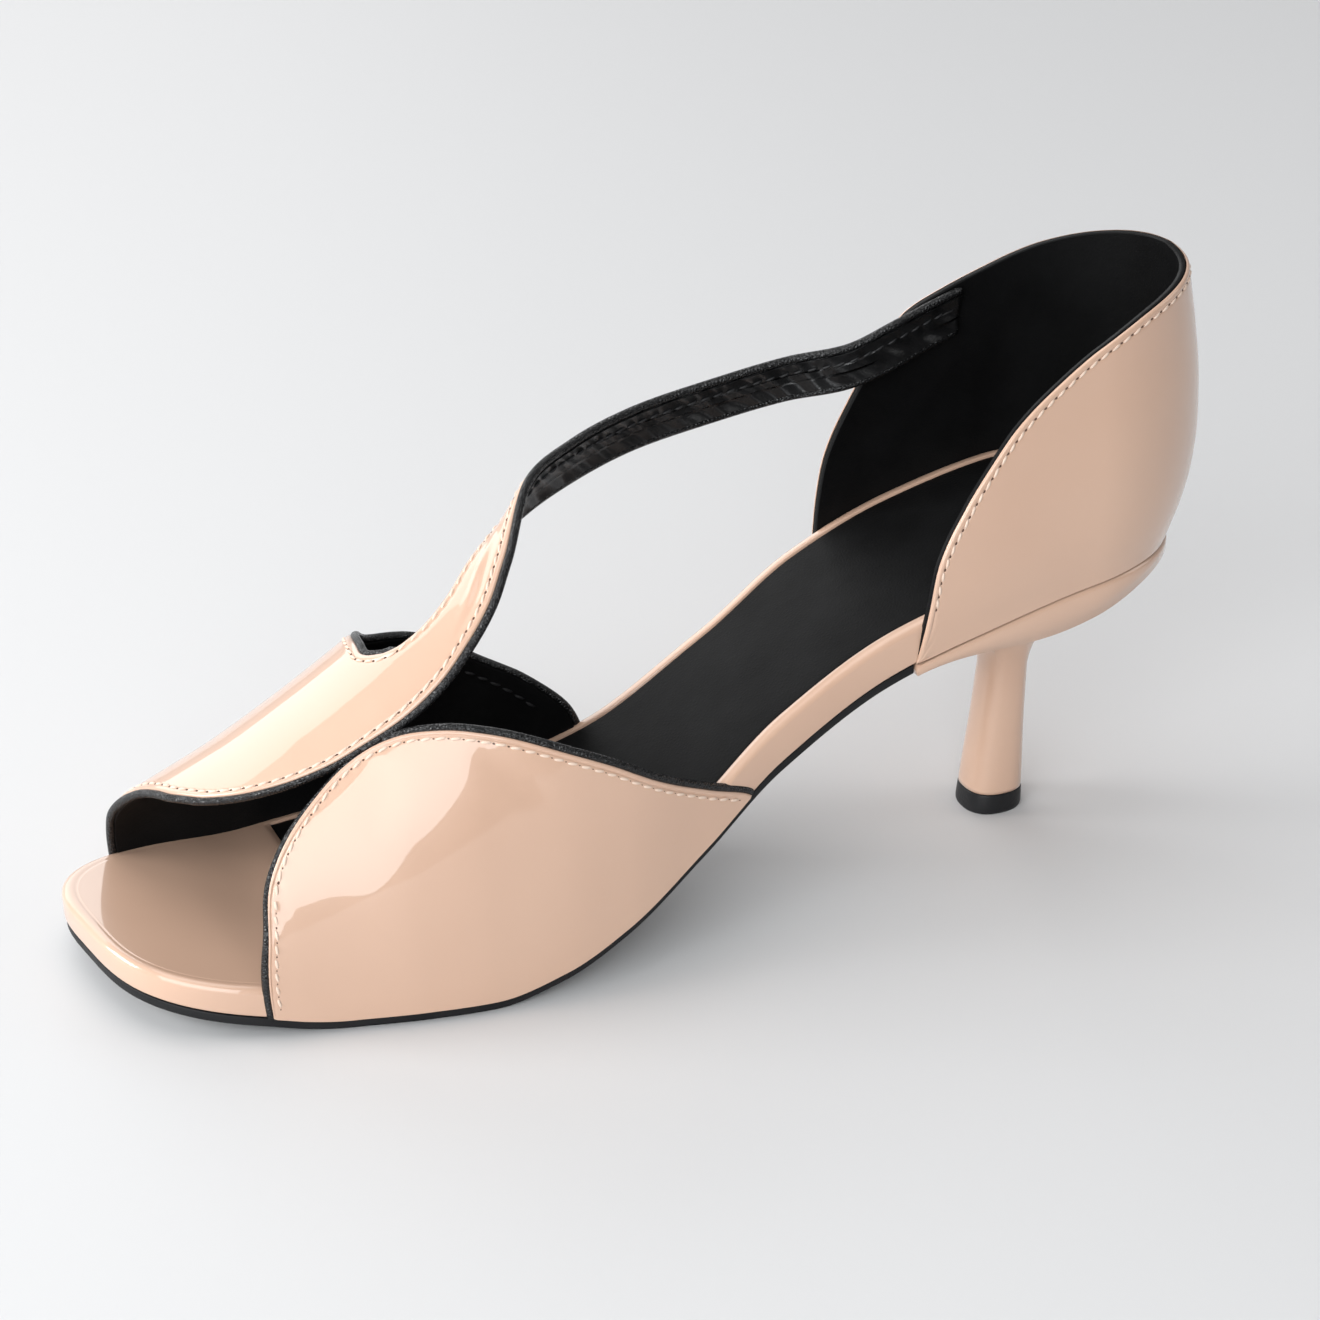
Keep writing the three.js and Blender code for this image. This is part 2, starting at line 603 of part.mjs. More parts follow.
// Heel: slim column that flares to a seat under the counter
const FLARE_STEPS = 11;
const COLUMN_STEPS = 6;
function heel() {
  const seat = seatOutline();
  const rings = [];
  const foot = TIP_HEIGHT + CLEARANCE;
  for (let k = 0; k <= COLUMN_STEPS; k += 1) {
    const z = lerp(foot, WAIST_HEIGHT, k / COLUMN_STEPS);
    rings.push(columnRing(seat, z / WAIST_HEIGHT, z));
  }
  const waist = rings.at(-1);
  for (let k = 1; k <= FLARE_STEPS; k += 1) {
    const up = k / FLARE_STEPS;
    rings.push(seat.map(({ x, y }, n) => {
      const toFront = smoothstep(x, 0, SEAT_LENGTH);
      const reach = up ** lerp(FLARE_BACK, FLARE_FRONT, toFront);
      const edge = soleUnderside(x) - SEAT_DROP * Math.sin(Math.PI * toFront);
      return new THREE.Vector3(lerp(waist[n].x, x, reach), lerp(waist[n].y, y, reach), lerp(waist[n].z, edge, up));
    }));
  }
  const ceiling = 2 * HEEL_RISE;
  rings.push(seat.map(({ x, y }) => new THREE.Vector3(x, y, ceiling)));
  const above = soleLayer({
    from: -2 * SEAT_DROP,
    to: SEAT_LENGTH + SEAT_DROP,
    bottom: (x) => soleTop(x),
    top: () => ceiling + SEAT_DROP,
    inset: () => -2 * SEAT_DROP,
    stations: 24,
  });
  return toGeometry(toSolid(loft(rings)).subtract(toSolid(above)));
}

// Tip that the heel stands on
function heelTip() {
  const seat = seatOutline();
  const ring = (z) => columnRing(seat, z / WAIST_HEIGHT, z);
  return loft([ring(0), ring(TIP_HEIGHT)]);
}

const shoe = new THREE.Group();
shoe.name = 'sandal';
const pieces = [
  ['outsole', outsole(), blackRubber],
  ['insole_platform', platform(), nudePatent],
  ['insock', insock(), blackLeather],
  ['upper', wallBetween([vamp(), strap()]), nudePatent],
  ['heel_counter', counter(), nudePatent],
  ['heel', heel(), nudePatent],
  ['heel_tip', heelTip(), blackRubber],
];
pieces.forEach(([name, geometry, material]) => {
  const mesh = new THREE.Mesh(geometry, material);
  mesh.name = name;
  shoe.add(mesh);
});

// The origin lies on the floor under the middle of the shoe's box
const size = new THREE.Box3().setFromObject(shoe);
const centre = size.getCenter(new THREE.Vector3());
shoe.position.set(-centre.x, -centre.y, -size.min.z);

export default shoe;
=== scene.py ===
"""Looks of a left peep-toe sandal: glossy nude patent, black leather edges and lining, cream stitches.

Lengths are millimetres in the shoe's drawing frame: x from the back of the heel seat to the toe,
y to the outer side, z up from the floor. to_frame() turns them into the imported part's metres.
"""
import math

import bpy
import numpy as np
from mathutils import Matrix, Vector


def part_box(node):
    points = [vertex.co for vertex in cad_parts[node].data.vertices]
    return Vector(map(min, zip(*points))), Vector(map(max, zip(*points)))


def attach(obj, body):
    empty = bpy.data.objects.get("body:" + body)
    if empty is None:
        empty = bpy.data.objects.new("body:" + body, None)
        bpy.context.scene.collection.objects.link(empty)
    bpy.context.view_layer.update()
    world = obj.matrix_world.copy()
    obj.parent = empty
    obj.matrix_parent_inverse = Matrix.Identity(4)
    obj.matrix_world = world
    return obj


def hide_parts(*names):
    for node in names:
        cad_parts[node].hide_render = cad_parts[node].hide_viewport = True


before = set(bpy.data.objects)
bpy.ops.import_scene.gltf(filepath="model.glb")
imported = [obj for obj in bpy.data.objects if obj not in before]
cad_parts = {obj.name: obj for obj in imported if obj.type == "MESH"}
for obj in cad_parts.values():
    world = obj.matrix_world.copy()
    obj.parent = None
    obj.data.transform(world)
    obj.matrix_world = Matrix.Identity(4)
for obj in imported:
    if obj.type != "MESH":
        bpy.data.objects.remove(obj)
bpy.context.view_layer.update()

# Named sizes, as in the part's source
SOLE_LENGTH = 222.0
BALL_WIDTH = 72.0
HEEL_RISE = 58.0
TOE_SPRING = 6.0
OUTSOLE_THICKNESS = 2.0
OUTSOLE_INSET = 1.2
PLATFORM_THICKNESS = 8.0
PLATFORM_ROUNDING = 1.6
PLATFORM_INSET = 0.8  # also behind the upper and the counter, which hide the platform's side
INSOCK_THICKNESS = 1.0
RECESS_DEPTH = 1.6
RIM_WIDTH = 2.6
INSOCK_FRONT = 177.0
CLEARANCE = 0.3
WALL = 2.0
INSTEP_HEIGHT = 62.0
STRAP_WIDTH = 8.0
STRAP_CAMBER = 0.5
COUNTER_HEIGHT = 56.0
COUNTER_BULGE = 6.8
COUNTER_LEAN = 2.6
SEAT_LENGTH = 65.0
SEAT_DROP = 5.0
COLUMN_PLACE = 34.2
COLUMN_LENGTH = 12.6
COLUMN_WIDTH = 12.6
WAIST_HEIGHT = 31.0
TIP_HEIGHT = 4.4
FLARE_BACK = 2.0
FLARE_FRONT = 3.4
HEEL_END = 27.0
TOE_END = 31.0
HEEL_ROUNDNESS = 2.15
TOE_ROUNDNESS = 3.4
TOE_SLANT = 0.14
LAST_ROUNDNESS = 2.2
COLUMN_ROUNDNESS = 2.4
HALF_BALL = BALL_WIDTH / 2

# Looks only
SHEET_STEP = 0.9  # from row to row of a sheet
EDGE_ROLL = 0.55  # radius of the patent's folded edge
LINING_GAP = 0.25  # from the fold down to the lining
PUFF = (0.9, 0.06, 0.35)  # from the edge, height, half width
GROOVE = (0.17, 0.3)  # depth and half width, under the seam
PIPING_RADIUS = 0.85
PIPING_OUT = 0.5
SEAM_INSET = 1.55
STITCH_PITCH = 2.75
STITCH_LENGTH = 2.2
STITCH_RADIUS = 0.3
STITCH_LIFT = 0.16  # of a stitch's middle over its ends
STITCH_TWIST = 0.18
# The discs at the needle holes below are painted shade of the holes
HOLE_LENGTH = 0.68
HOLE_RADIUS = 0.25
HOLE_SINK = 0.02  # below the thread

# at, rise, spring, outer, inner, band
SOLE = [
    (0.00, 1.000, 0.0, 0.654, 0.681, 1.00),
    (0.06, 0.993, 0.0, 0.665, 0.695, 1.00),
    (0.12, 0.970, 0.0, 0.683, 0.705, 1.00),
    (0.22, 0.893, 0.0, 0.700, 0.689, 1.00),
    (0.32, 0.769, 0.0, 0.672, 0.606, 1.03),
    (0.42, 0.559, 0.0, 0.700, 0.483, 1.10),
    (0.50, 0.338, 0.0, 0.794, 0.528, 1.15),
    (0.58, 0.148, 0.0, 0.900, 0.749, 1.12),
    (0.64, 0.050, 0.0, 0.933, 0.961, 1.07),
    (0.70, 0.000, 0.0, 0.922, 1.083, 1.00),
    (0.76, 0.000, 0.0, 0.867, 1.095, 0.92),
    (0.82, 0.000, 0.0, 0.778, 1.078, 0.84),
    (0.90, 0.000, 0.4, 0.667, 1.028, 0.76),
    (1.00, 0.000, 1.0, 0.528, 0.917, 0.70),
]

# at, height, shift
RIDGE = [
    (0.400, 1.822, 0.084),
    (0.500, 1.580, 0.070),
    (0.580, 1.403, 0.042),
    (0.660, 1.200, 0.014),
    (0.745, 0.968, -0.027),
    (0.790, 0.850, -0.056),
    (0.830, 0.754, -0.083),
    (0.880, 0.641, -0.111),
    (0.930, 0.538, -0.139),
    (0.980, 0.428, -0.167),
]

# Outer wing's free edge from its rear foot over the top to its front foot: at, round, and the place
# along the foot that the same row starts from
OUTER_WING = [
    (0.452, 0.000, 0.452),
    (0.494, 0.039, 0.486),
    (0.542, 0.088, 0.527),
    (0.585, 0.138, 0.568),
    (0.645, 0.210, 0.622),
    (0.688, 0.267, 0.662),
    (0.722, 0.312, 0.694),
    (0.756, 0.349, 0.725),
    (0.775, 0.360, 0.743),
    (0.796, 0.360, 0.761),
    (0.824, 0.340, 0.784),
    (0.855, 0.297, 0.811),
    (0.876, 0.238, 0.833),
    (0.886, 0.137, 0.856),
    (0.889, 0.086, 0.869),
    (0.889, 0.034, 0.878),
    (0.887, 0.000, 0.887),
]

# Inner wing, panel and the strap's start, as rows from the inner foot: front or near edge (at, round)
# and back or far edge (at, round)
PANEL = [
    (0.928, 1.000, 0.520, 1.000),
    (0.930, 0.950, 0.538, 0.950),
    (0.931, 0.910, 0.568, 0.910),
    (0.932, 0.860, 0.613, 0.860),
    (0.933, 0.800, 0.661, 0.800),
    (0.930, 0.730, 0.713, 0.735),
    (0.923, 0.660, 0.7320, 0.668),
    (0.917, 0.590, 0.7425, 0.603),
    (0.911, 0.540, 0.7470, 0.560),
    (0.898, 0.494, 0.7488, 0.541),
    (0.872, 0.439, 0.7485, 0.528),
    (0.843, 0.402, 0.7465, 0.518),
    (0.810, 0.379, 0.7430, 0.509),
    (0.777, 0.371, 0.7385, 0.501),
    (0.745, 0.366, 0.7325, 0.494),
    (0.715, 0.373, 0.7250, 0.488),
    (0.690, 0.391, 0.7080, 0.486),
    (0.662, 0.423, 0.6820, 0.500),
    (0.638, 0.474, 0.6550, 0.530),
]

# Creases, each from one place to another: row of the table, share of the way across,
# row, share, half width and height in millimetres (a trough is below zero)
PANEL_CREASES = [
    (18.6, 0.44, 16.0, 0.20, 1.0, -0.30),
    (18.3, 0.60, 16.4, 0.40, 0.8, 0.17),
    (18.8, 0.66, 17.0, 0.58, 0.7, -0.12),
    (17.6, 0.24, 15.8, 0.11, 0.7, 0.14),
    (20.6, 0.30, 18.9, 0.45, 0.9, -0.10),
    (13.2, 0.35, 10.6, 0.26, 2.6, -0.16),
]
WING_CREASES = [
    (11.7, 0.963, 11.9, 0.890, 1.0, -0.20),
    (12.1, 0.958, 12.3, 0.885, 0.9, 0.16),
    (12.5, 0.955, 12.7, 0.875, 1.0, -0.20),
    (12.9, 0.950, 13.1, 0.870, 0.9, 0.14),
    (5.5, 0.930, 4.2, 0.700, 3.0, -0.25),
    (7.6, 0.900, 9.4, 0.640, 4.0, -0.30),
]

# Strap along the ankle: at, then side and height of its upper and of its lower edge
ANKLE_STRAP = [
    (0.585, 0.243, 1.385, 0.327, 1.262),
    (0.532, 0.464, 1.415, 0.512, 1.287),
    (0.464, 0.644, 1.437, 0.676, 1.313),
    (0.387, 0.697, 1.468, 0.726, 1.344),
    (0.315, 0.663, 1.510, 0.692, 1.384),
    (0.263, 0.533, 1.555, 0.549, 1.428),
]

# Strap's end inside the counter: at, height
STRAP_END = [(0.840, 0.660), (0.750, 0.692), (0.660, 0.718)]

# height, back, side
COUNTER_PROFILE = [
    (0.00, 0.00, 0.00),
    (0.06, 0.30, 0.22),
    (0.14, 0.62, 0.50),
    (0.24, 0.87, 0.66),
    (0.38, 1.00, 0.58),
    (0.54, 0.95, 0.20),
    (0.76, 0.68, -0.50),
    (1.00, 0.24, -1.00),
]

# at, outer, inner
COUNTER_EDGE = [
    (0.00, 1.000, 1.000),
    (0.12, 0.991, 0.991),
    (0.30, 0.963, 0.963),
    (0.45, 0.921, 0.924),
    (0.60, 0.839, 0.861),
    (0.72, 0.737, 0.805),
    (0.80, 0.649, 0.755),
    (0.86, 0.553, 0.640),
    (0.92, 0.436, 0.490),
    (0.97, 0.297, 0.320),
    (1.00, 0.000, 0.000),
]

# height, length, width, shift
COLUMN = [
    (0.00, 1.00, 1.00, 0.00),
    (0.30, 0.93, 0.95, -0.04),
    (0.65, 0.81, 0.88, -0.09),
    (1.00, 0.74, 0.83, -0.14),
]


def curve(rows, column, place):
    """Smooth curve through one column of a table, without overshoot."""
    table = np.asarray(rows, float)
    key, value = table[:, 0], table[:, column]
    secant = np.diff(value) / np.diff(key)
    slope = np.empty(len(key))
    slope[0], slope[-1] = secant[0], secant[-1]
    before, after = secant[:-1], secant[1:]
    same = before * after > 0
    slope[1:-1] = np.where(same, 2 * before * after / np.where(same, before + after, 1), 0)
    place = np.asarray(place, float)
    i = np.clip(np.searchsorted(key, place, side="left") - 1, 0, len(key) - 2)
    gap = key[i + 1] - key[i]
    t = np.clip((place - key[i]) / gap, 0, 1)
    bend = slope[i] * t * (1 - t) ** 2 - slope[i + 1] * t * t * (1 - t)
    return value[i] + (value[i + 1] - value[i]) * t * t * (3 - 2 * t) + gap * bend


def smoothstep(x, low, high):
    t = np.clip((np.asarray(x, float) - low) / (high - low), 0, 1)
    return t * t * (3 - 2 * t)


def lerp(a, b, t):
    return a + (b - a) * t


def unit(v):
    return v / np.maximum(np.linalg.norm(v, axis=-1, keepdims=True), 1e-9)


def points(x, y, z):
    return np.stack(np.broadcast_arrays(x, y, z), axis=-1).astype(float)


def sole_value(x, column):
    return curve(SOLE, column, np.asarray(x, float) / SOLE_LENGTH)


def sole_underside(x):
    return HEEL_RISE * sole_value(x, 1) + TOE_SPRING * sole_value(x, 2)


def sole_top(x):
    return sole_underside(x) + OUTSOLE_THICKNESS


def platform_underside(x):
    return sole_top(x) + CLEARANCE


def platform_top(x):
    return platform_underside(x) + PLATFORM_THICKNESS * sole_value(x, 5)


def outline(x, outset=0.0):
    outer, inner = HALF_BALL * sole_value(x, 3), HALF_BALL * sole_value(x, 4)
    to_heel = np.clip((HEEL_END - x) / (HEEL_END + outset), 0, 1)
    to_toe = np.clip((x - (SOLE_LENGTH - TOE_END)) / (TOE_END + outset), 0, 1)
    heel_round = (1 - to_heel**HEEL_ROUNDNESS) ** (1 / HEEL_ROUNDNESS)
    toe_round = (1 - to_toe**TOE_ROUNDNESS) ** (1 / TOE_ROUNDNESS)
    middle = (outer - inner) / 2
    half = ((outer + inner) / 2 + outset) * heel_round * toe_round
    return middle + half, middle - half


def slanted(x, y, z):
    to_toe = np.clip((x - (SOLE_LENGTH - TOE_END)) / TOE_END, 0, 1)
    return points(x - TOE_SLANT * y * to_toe, y, z)


def constant(value):
    """A length that stays the same along the sole."""
    return lambda x: np.full_like(np.asarray(x, float), value)


def last_point(x, around, depth):
    """Point of the last's skin: around is 0 at the outer sole edge, 1 at the inner one."""
    x, around = np.broadcast_arrays(np.asarray(x, float), np.asarray(around, float))
    outer, inner = outline(x, -CLEARANCE - depth)
    top = INSTEP_HEIGHT * curve(RIDGE, 1, x / SOLE_LENGTH) - depth
    middle = HALF_BALL * curve(RIDGE, 2, x / SOLE_LENGTH)
    foot, shoulder = platform_underside(x), platform_top(x)
    z = lerp(foot, top, np.clip(np.sin(np.pi * around), 0, 1) ** (2 / LAST_ROUNDNESS))
    up = np.clip((z - shoulder) / (top - shoulder), 0, 1)
    across = (1 - up**LAST_ROUNDNESS) ** (1 / LAST_ROUNDNESS)
    return slanted(x, lerp(middle, np.where(around < 0.5, outer, inner), across), z)


def counter_point(place, level, depth):
    place, level = np.broadcast_arrays(np.asarray(place, float), np.asarray(level, float))
    size = np.abs(place)
    inset = CLEARANCE + depth
    x = lerp(inset, SEAT_LENGTH, 1 - np.cos(size * math.pi / 2))
    outer, inner = outline(x, -inset)
    foot = platform_underside(x)
    z = lerp(foot, platform_underside(0.0) + COUNTER_HEIGHT, level)
    height = (z - foot) / COUNTER_HEIGHT
    back = COUNTER_BULGE * curve(COUNTER_PROFILE, 1, height)
    side = COUNTER_LEAN * curve(COUNTER_PROFILE, 2, height)
    behind = np.cos(np.minimum(1, 1.6 * size) * math.pi / 2) ** 2
    out = side * (1 - behind)
    y = np.where(place < 0, inner - out, outer + out)
    return points(x - back * behind, np.where(size < 1e-9, (outer + inner) / 2, y), z)


# The drawing frame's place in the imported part
heel_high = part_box("heel")[1]
SHIFT_X = SEAT_LENGTH - 1000 * heel_high[0]
SHIFT_Y = float(outline(np.linspace(0, SEAT_LENGTH, 400))[0].max()) - 1000 * heel_high[1]


def to_frame(p):
    return (np.asarray(p, float) - np.array([SHIFT_X, SHIFT_Y, 0.0])) / 1000


def make_mesh(name, verts, faces, material, uv=None):
    mesh = bpy.data.meshes.new(name)
    mesh.from_pydata([tuple(v) for v in to_frame(verts)], [], faces)
    mesh.validate(clean_customdata=False)
    if uv is not None:
        uv_layer = mesh.uv_layers.new(name="UVMap")
        index = np.empty(len(mesh.loops), dtype=np.int32)
        mesh.loops.foreach_get("vertex_index", index)
        uv_layer.data.foreach_set("uv", np.asarray(uv, np.float32)[index].ravel())
    for polygon in mesh.polygons:
        polygon.use_smooth = True
    mesh.materials.append(material)
    piece = bpy.data.objects.new(name, mesh)
    bpy.context.scene.collection.objects.link(piece)
    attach(piece, "root")
    return piece


def grid_faces(rows, columns, wrap_columns=False):
    faces = []
    for i in range(rows - 1):
        for j in range(columns if wrap_columns else columns - 1):
            a, b = i * columns + j, i * columns + (j + 1) % columns
            faces.append((a, b, b + columns, a + columns))
    return faces


def tube_faces(rings, sides, start=0):
    """Faces from ring to ring, with both ends closed."""
    faces = grid_faces(rings, sides, wrap_columns=True)
    faces.append(tuple(range(sides))[::-1])
    faces.append(tuple((rings - 1) * sides + j for j in range(sides)))
    return [tuple(v + start for v in face) for face in faces]


def grid_normals(grid):
    along = np.gradient(grid, axis=0)
    across = np.gradient(grid, axis=1)
    return unit(np.cross(along, across))


def spline(keys, marks, query):
    """Smooth curve through keys at uneven marks."""
    keys, marks = np.asarray(keys, float), np.asarray(marks, float)
    slope = np.gradient(keys, marks, axis=0)
    i = np.clip(np.searchsorted(marks, query, side="right") - 1, 0, len(marks) - 2)
    gap = (marks[i + 1] - marks[i])[:, None]
    t = ((query - marks[i])[:, None] / gap).clip(0, 1)
    return (
        keys[i] * (2 * t**3 - 3 * t**2 + 1)
        + slope[i] * gap * (t**3 - 2 * t**2 + t)
        + keys[i + 1] * (3 * t**2 - 2 * t**3)
        + slope[i + 1] * gap * (t**3 - t**2)
    )


def evenly(keys3d, spacing):
    """Marks of key rows by their mean 3-D distance, and query marks at even spacing."""
    steps = np.linalg.norm(np.diff(keys3d, axis=0), axis=-1).mean(axis=1)
    marks = np.concatenate([[0], np.cumsum(steps)])
    count = int(marks[-1] / spacing)
    return marks, np.linspace(0, marks[-1], count + 1)


# Distances from an edge, fine enough for its fold, puff and groove
EDGE_STEPS = np.array([0, 0.04, 0.12, 0.24, 0.4, 0.6, 0.85, 1.1, 1.27, 1.42, 1.55, 1.68, 1.83, 2.0, 2.4, 3.1])


def shares_across(width, near, far, middle):
    """Shares of the way across for each row, with fine steps along the rolled edges."""
    width = np.asarray(width, float)[:, None]
    narrowest = 7.6  # a row narrower than this has its fine steps closer together
    fit = np.minimum(1, width / narrowest)
    low = EDGE_STEPS[None, :] * fit / width if near else np.zeros((len(width), 1))
    high = 1 - EDGE_STEPS[None, ::-1] * fit / width if far else np.ones((len(width), 1))
    inner = np.linspace(0, 1, middle + 2)[None, 1:-1]
    return np.concatenate([low, lerp(low[:, -1:], high[:, :1], inner), high], axis=1)


def edge_profile(distance):
    """Height of the patent layer over the distance from its folded edge."""
    e = np.clip(distance, 0, None)
    roll = np.where(e < EDGE_ROLL, np.sqrt(np.clip(EDGE_ROLL**2 - (EDGE_ROLL - e) ** 2, 0, None)), EDGE_ROLL)
    groove = GROOVE[0] * np.exp(-(((e - SEAM_INSET) / GROOVE[1]) ** 2))
    puff = PUFF[1] * np.exp(-(((e - PUFF[0]) / PUFF[2]) ** 2))
    return roll - EDGE_ROLL - groove + puff


# Materials
def principled(name, colour, roughness):
    material = bpy.data.materials.new(name)
    material.use_nodes = True
    shader = material.node_tree.nodes["Principled BSDF"]
    shader.inputs["Base Color"].default_value = (*colour, 1)
    shader.inputs["Roughness"].default_value = roughness
    return material, material.node_tree.nodes, material.node_tree.links, shader


def object_coordinates(nodes):
    return nodes.new("ShaderNodeTexCoord").outputs["Object"]


def noise(nodes, links, vector, scale, detail=2.0, roughness=0.5):
    node = nodes.new("ShaderNodeTexNoise")
    node.inputs["Scale"].default_value = scale
    node.inputs["Detail"].default_value = detail
    node.inputs["Roughness"].default_value = roughness
    links.new(vector, node.inputs["Vector"])
    return node.outputs["Fac"]


def voronoi(nodes, links, vector, scale, feature="F1"):
    node = nodes.new("ShaderNodeTexVoronoi")
    node.feature = feature
    node.inputs["Scale"].default_value = scale
    links.new(vector, node.inputs["Vector"])
    return node.outputs["Distance"]


def bump(nodes, links, height, strength, distance, normal=None):
    node = nodes.new("ShaderNodeBump")
    node.inputs["Strength"].default_value = strength
    node.inputs["Distance"].default_value = distance
    links.new(height, node.inputs["Height"])
    if normal is not None:
        links.new(normal, node.inputs["Normal"])
    return node.outputs["Normal"]


def mixed_colour(nodes, links, factor, low, high, from_min=0.3, from_max=0.7):
    ramp = nodes.new("ShaderNodeMapRange")
    ramp.inputs["From Min"].default_value = from_min
    ramp.inputs["From Max"].default_value = from_max
    links.new(factor, ramp.inputs["Value"])
    mix = nodes.new("ShaderNodeMix")
    mix.data_type = "RGBA"
    mix.inputs["A"].default_value = (*low, 1)
    mix.inputs["B"].default_value = (*high, 1)
    links.new(ramp.outputs["Result"], mix.inputs["Factor"])
    return mix.outputs["Result"]


def make_patent(name):
    material, nodes, links, shader = principled(name, (0.66, 0.43, 0.30), 0.34)
    shader.inputs["Coat Weight"].default_value = 1.0
    shader.inputs["Coat Roughness"].default_value = 0.025
    shader.inputs["Coat IOR"].default_value = 1.55
    shader.inputs["Specular IOR Level"].default_value = 0.3
    at = object_coordinates(nodes)
    tone = noise(nodes, links, at, 26, 2)
    links.new(mixed_colour(nodes, links, tone, (0.65, 0.42, 0.302), (0.68, 0.448, 0.325)),
              shader.inputs["Base Color"])
    waves = noise(nodes, links, at, 55, 1)
    peel = noise(nodes, links, at, 620, 1)
    first = bump(nodes, links, waves, 0.12, 0.0012)
    second = bump(nodes, links, peel, 0.05, 0.00006, first)
    links.new(second, shader.inputs["Coat Normal"])
    links.new(second, shader.inputs["Normal"])
    return material


def make_grained(name, colour, roughness, grain, depth, wrinkle=0.0, specular=0.22, pleats=False):
    material, nodes, links, shader = principled(name, colour, roughness)
    shader.inputs["Specular IOR Level"].default_value = specular
    at = object_coordinates(nodes)
    cells = voronoi(nodes, links, at, grain, "DISTANCE_TO_EDGE")
    normal = bump(nodes, links, cells, 0.7, depth)
    if wrinkle:
        folds = noise(nodes, links, at, 210, 3, 0.6)
        normal = bump(nodes, links, folds, wrinkle, 0.0008, normal)
    if pleats:
        wave = nodes.new("ShaderNodeTexWave")
        wave.bands_direction = "DIAGONAL"
        wave.inputs["Scale"].default_value = 0.085
        wave.inputs["Distortion"].default_value = 5.0
        wave.inputs["Detail"].default_value = 1.5
        wave.inputs["Detail Scale"].default_value = 0.6
        links.new(nodes.new("ShaderNodeTexCoord").outputs["UV"], wave.inputs["Vector"])
        normal = bump(nodes, links, wave.outputs["Fac"], 1.0, 0.0014, normal)
    links.new(normal, shader.inputs["Normal"])
    tone = noise(nodes, links, at, 90, 3)
    low, high = tuple(0.8 * c for c in colour), tuple(1.35 * c for c in colour)
    links.new(mixed_colour(nodes, links, tone, low, high), shader.inputs["Base Color"])
    return material


PATENT = make_patent("nude_patent_leather")
PIPING = make_grained("black_piping_leather", (0.008, 0.008, 0.0085), 0.27, 1500, 0.0005, specular=0.45)
LINING = make_grained("black_lining_leather", (0.005, 0.005, 0.0052), 0.5, 1500, 0.0001, 0.12, 0.12)
STRAP_LINING = make_grained("black_strap_lining", (0.009, 0.009, 0.0094), 0.36, 1500, 0.0001, 0.08, 0.6, True)
INSOCK = make_grained("black_insock_leather", (0.006, 0.006, 0.0062), 0.6, 1300, 0.0001, 0.1, 0.1)
OUTSOLE = make_grained("black_outsole", (0.012, 0.012, 0.013), 0.5, 700, 0.0001)
RUBBER = make_grained("black_heel_tip", (0.014, 0.014, 0.015), 0.42, 900, 0.00008)
THREAD = principled("cream_thread", (0.80, 0.62, 0.50), 0.5)[0]
DARK_THREAD = principled("black_thread", (0.011, 0.011, 0.012), 0.6)[0]
# Dark brown discs at the needle holes: painted shade inside the holes
HOLE_SHADE = principled("needle_hole_painted_shade", (0.11, 0.06, 0.04), 0.8)[0]


# Sole stack, as closed loops at insets from the outline
def loop(x_from, x_to, inset_outer, inset_inner, z, count, shrink=1.0):
    """Closed loop round the sole. The insets and z are functions of x."""
    share = (1 - np.cos(np.pi * np.arange(count + 1) / count)) / 2
    x = lerp(x_from, x_to, share)
    outer, _ = outline(x, -inset_outer(x))
    _, inner = outline(x, -inset_inner(x))
    middle = (outer + inner) / 2
    outer, inner = lerp(middle, outer, shrink), lerp(middle, inner, shrink)
    up = slanted(x, outer, z(x))
    back = slanted(x, inner, z(x))[::-1]
    return np.concatenate([up, back])


def layer(name, material, rings, x_from, x_to, outer, inner, count=150):
    """Rings are (inset, height function, shrink). The ends follow the inset."""
    loops = [
        loop(x_from(d), x_to(d), lambda x, d=d: outer(x) + d, lambda x, d=d: inner(x) + d, z, count, shrink)
        for d, z, shrink in rings
    ]
    grid = np.stack(loops)
    rows, columns = grid.shape[:2]
    return make_mesh(name, grid.reshape(-1, 3), grid_faces(rows, columns, wrap_columns=True), material)


def rounded(level, radius, steps, turn=1):
    """Quarter-round rings from the side onto a top (turn 1) or a bottom (turn -1)."""
    rings = []
    for k in range(steps + 1):
        a = math.pi / 2 * k / steps
        d = radius * (1 - math.cos(a))
        drop = radius * (1 - math.sin(a))
        rings.append((d, (lambda x, s=drop: level(x) - turn * s), 1.0))
    return rings


def make_platform():
    rim = [
        (RIM_WIDTH - 0.5, lambda x: platform_top(x), 1.0),
        (RIM_WIDTH - 0.15, lambda x: platform_top(x) - 0.06, 1.0),
    ]
    front = lambda x: 1 - smoothstep(x, INSOCK_FRONT - 1, INSOCK_FRONT)
    rim.append((RIM_WIDTH, lambda x: platform_top(x) - 0.3 * front(x), 1.0))
    floor = lambda x: platform_top(x) - RECESS_DEPTH * front(x)
    rim.append((RIM_WIDTH + 0.1, floor, 1.0))
    rim.extend((RIM_WIDTH + 0.1, floor, s) for s in (0.93, 0.8, 0.6, 0.4, 0.2, 0.0))
    under = rounded(platform_underside, 0.6, 4, turn=-1)[::-1]
    side = rounded(platform_top, PLATFORM_ROUNDING, 9)
    rings = under + side + rim
    side_inset = constant(PLATFORM_INSET)
    piece = layer("platform_patent", PATENT, rings, lambda d: PLATFORM_INSET + d,
                  lambda d: SOLE_LENGTH - PLATFORM_INSET - d, side_inset, side_inset, 190)
    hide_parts("insole_platform")


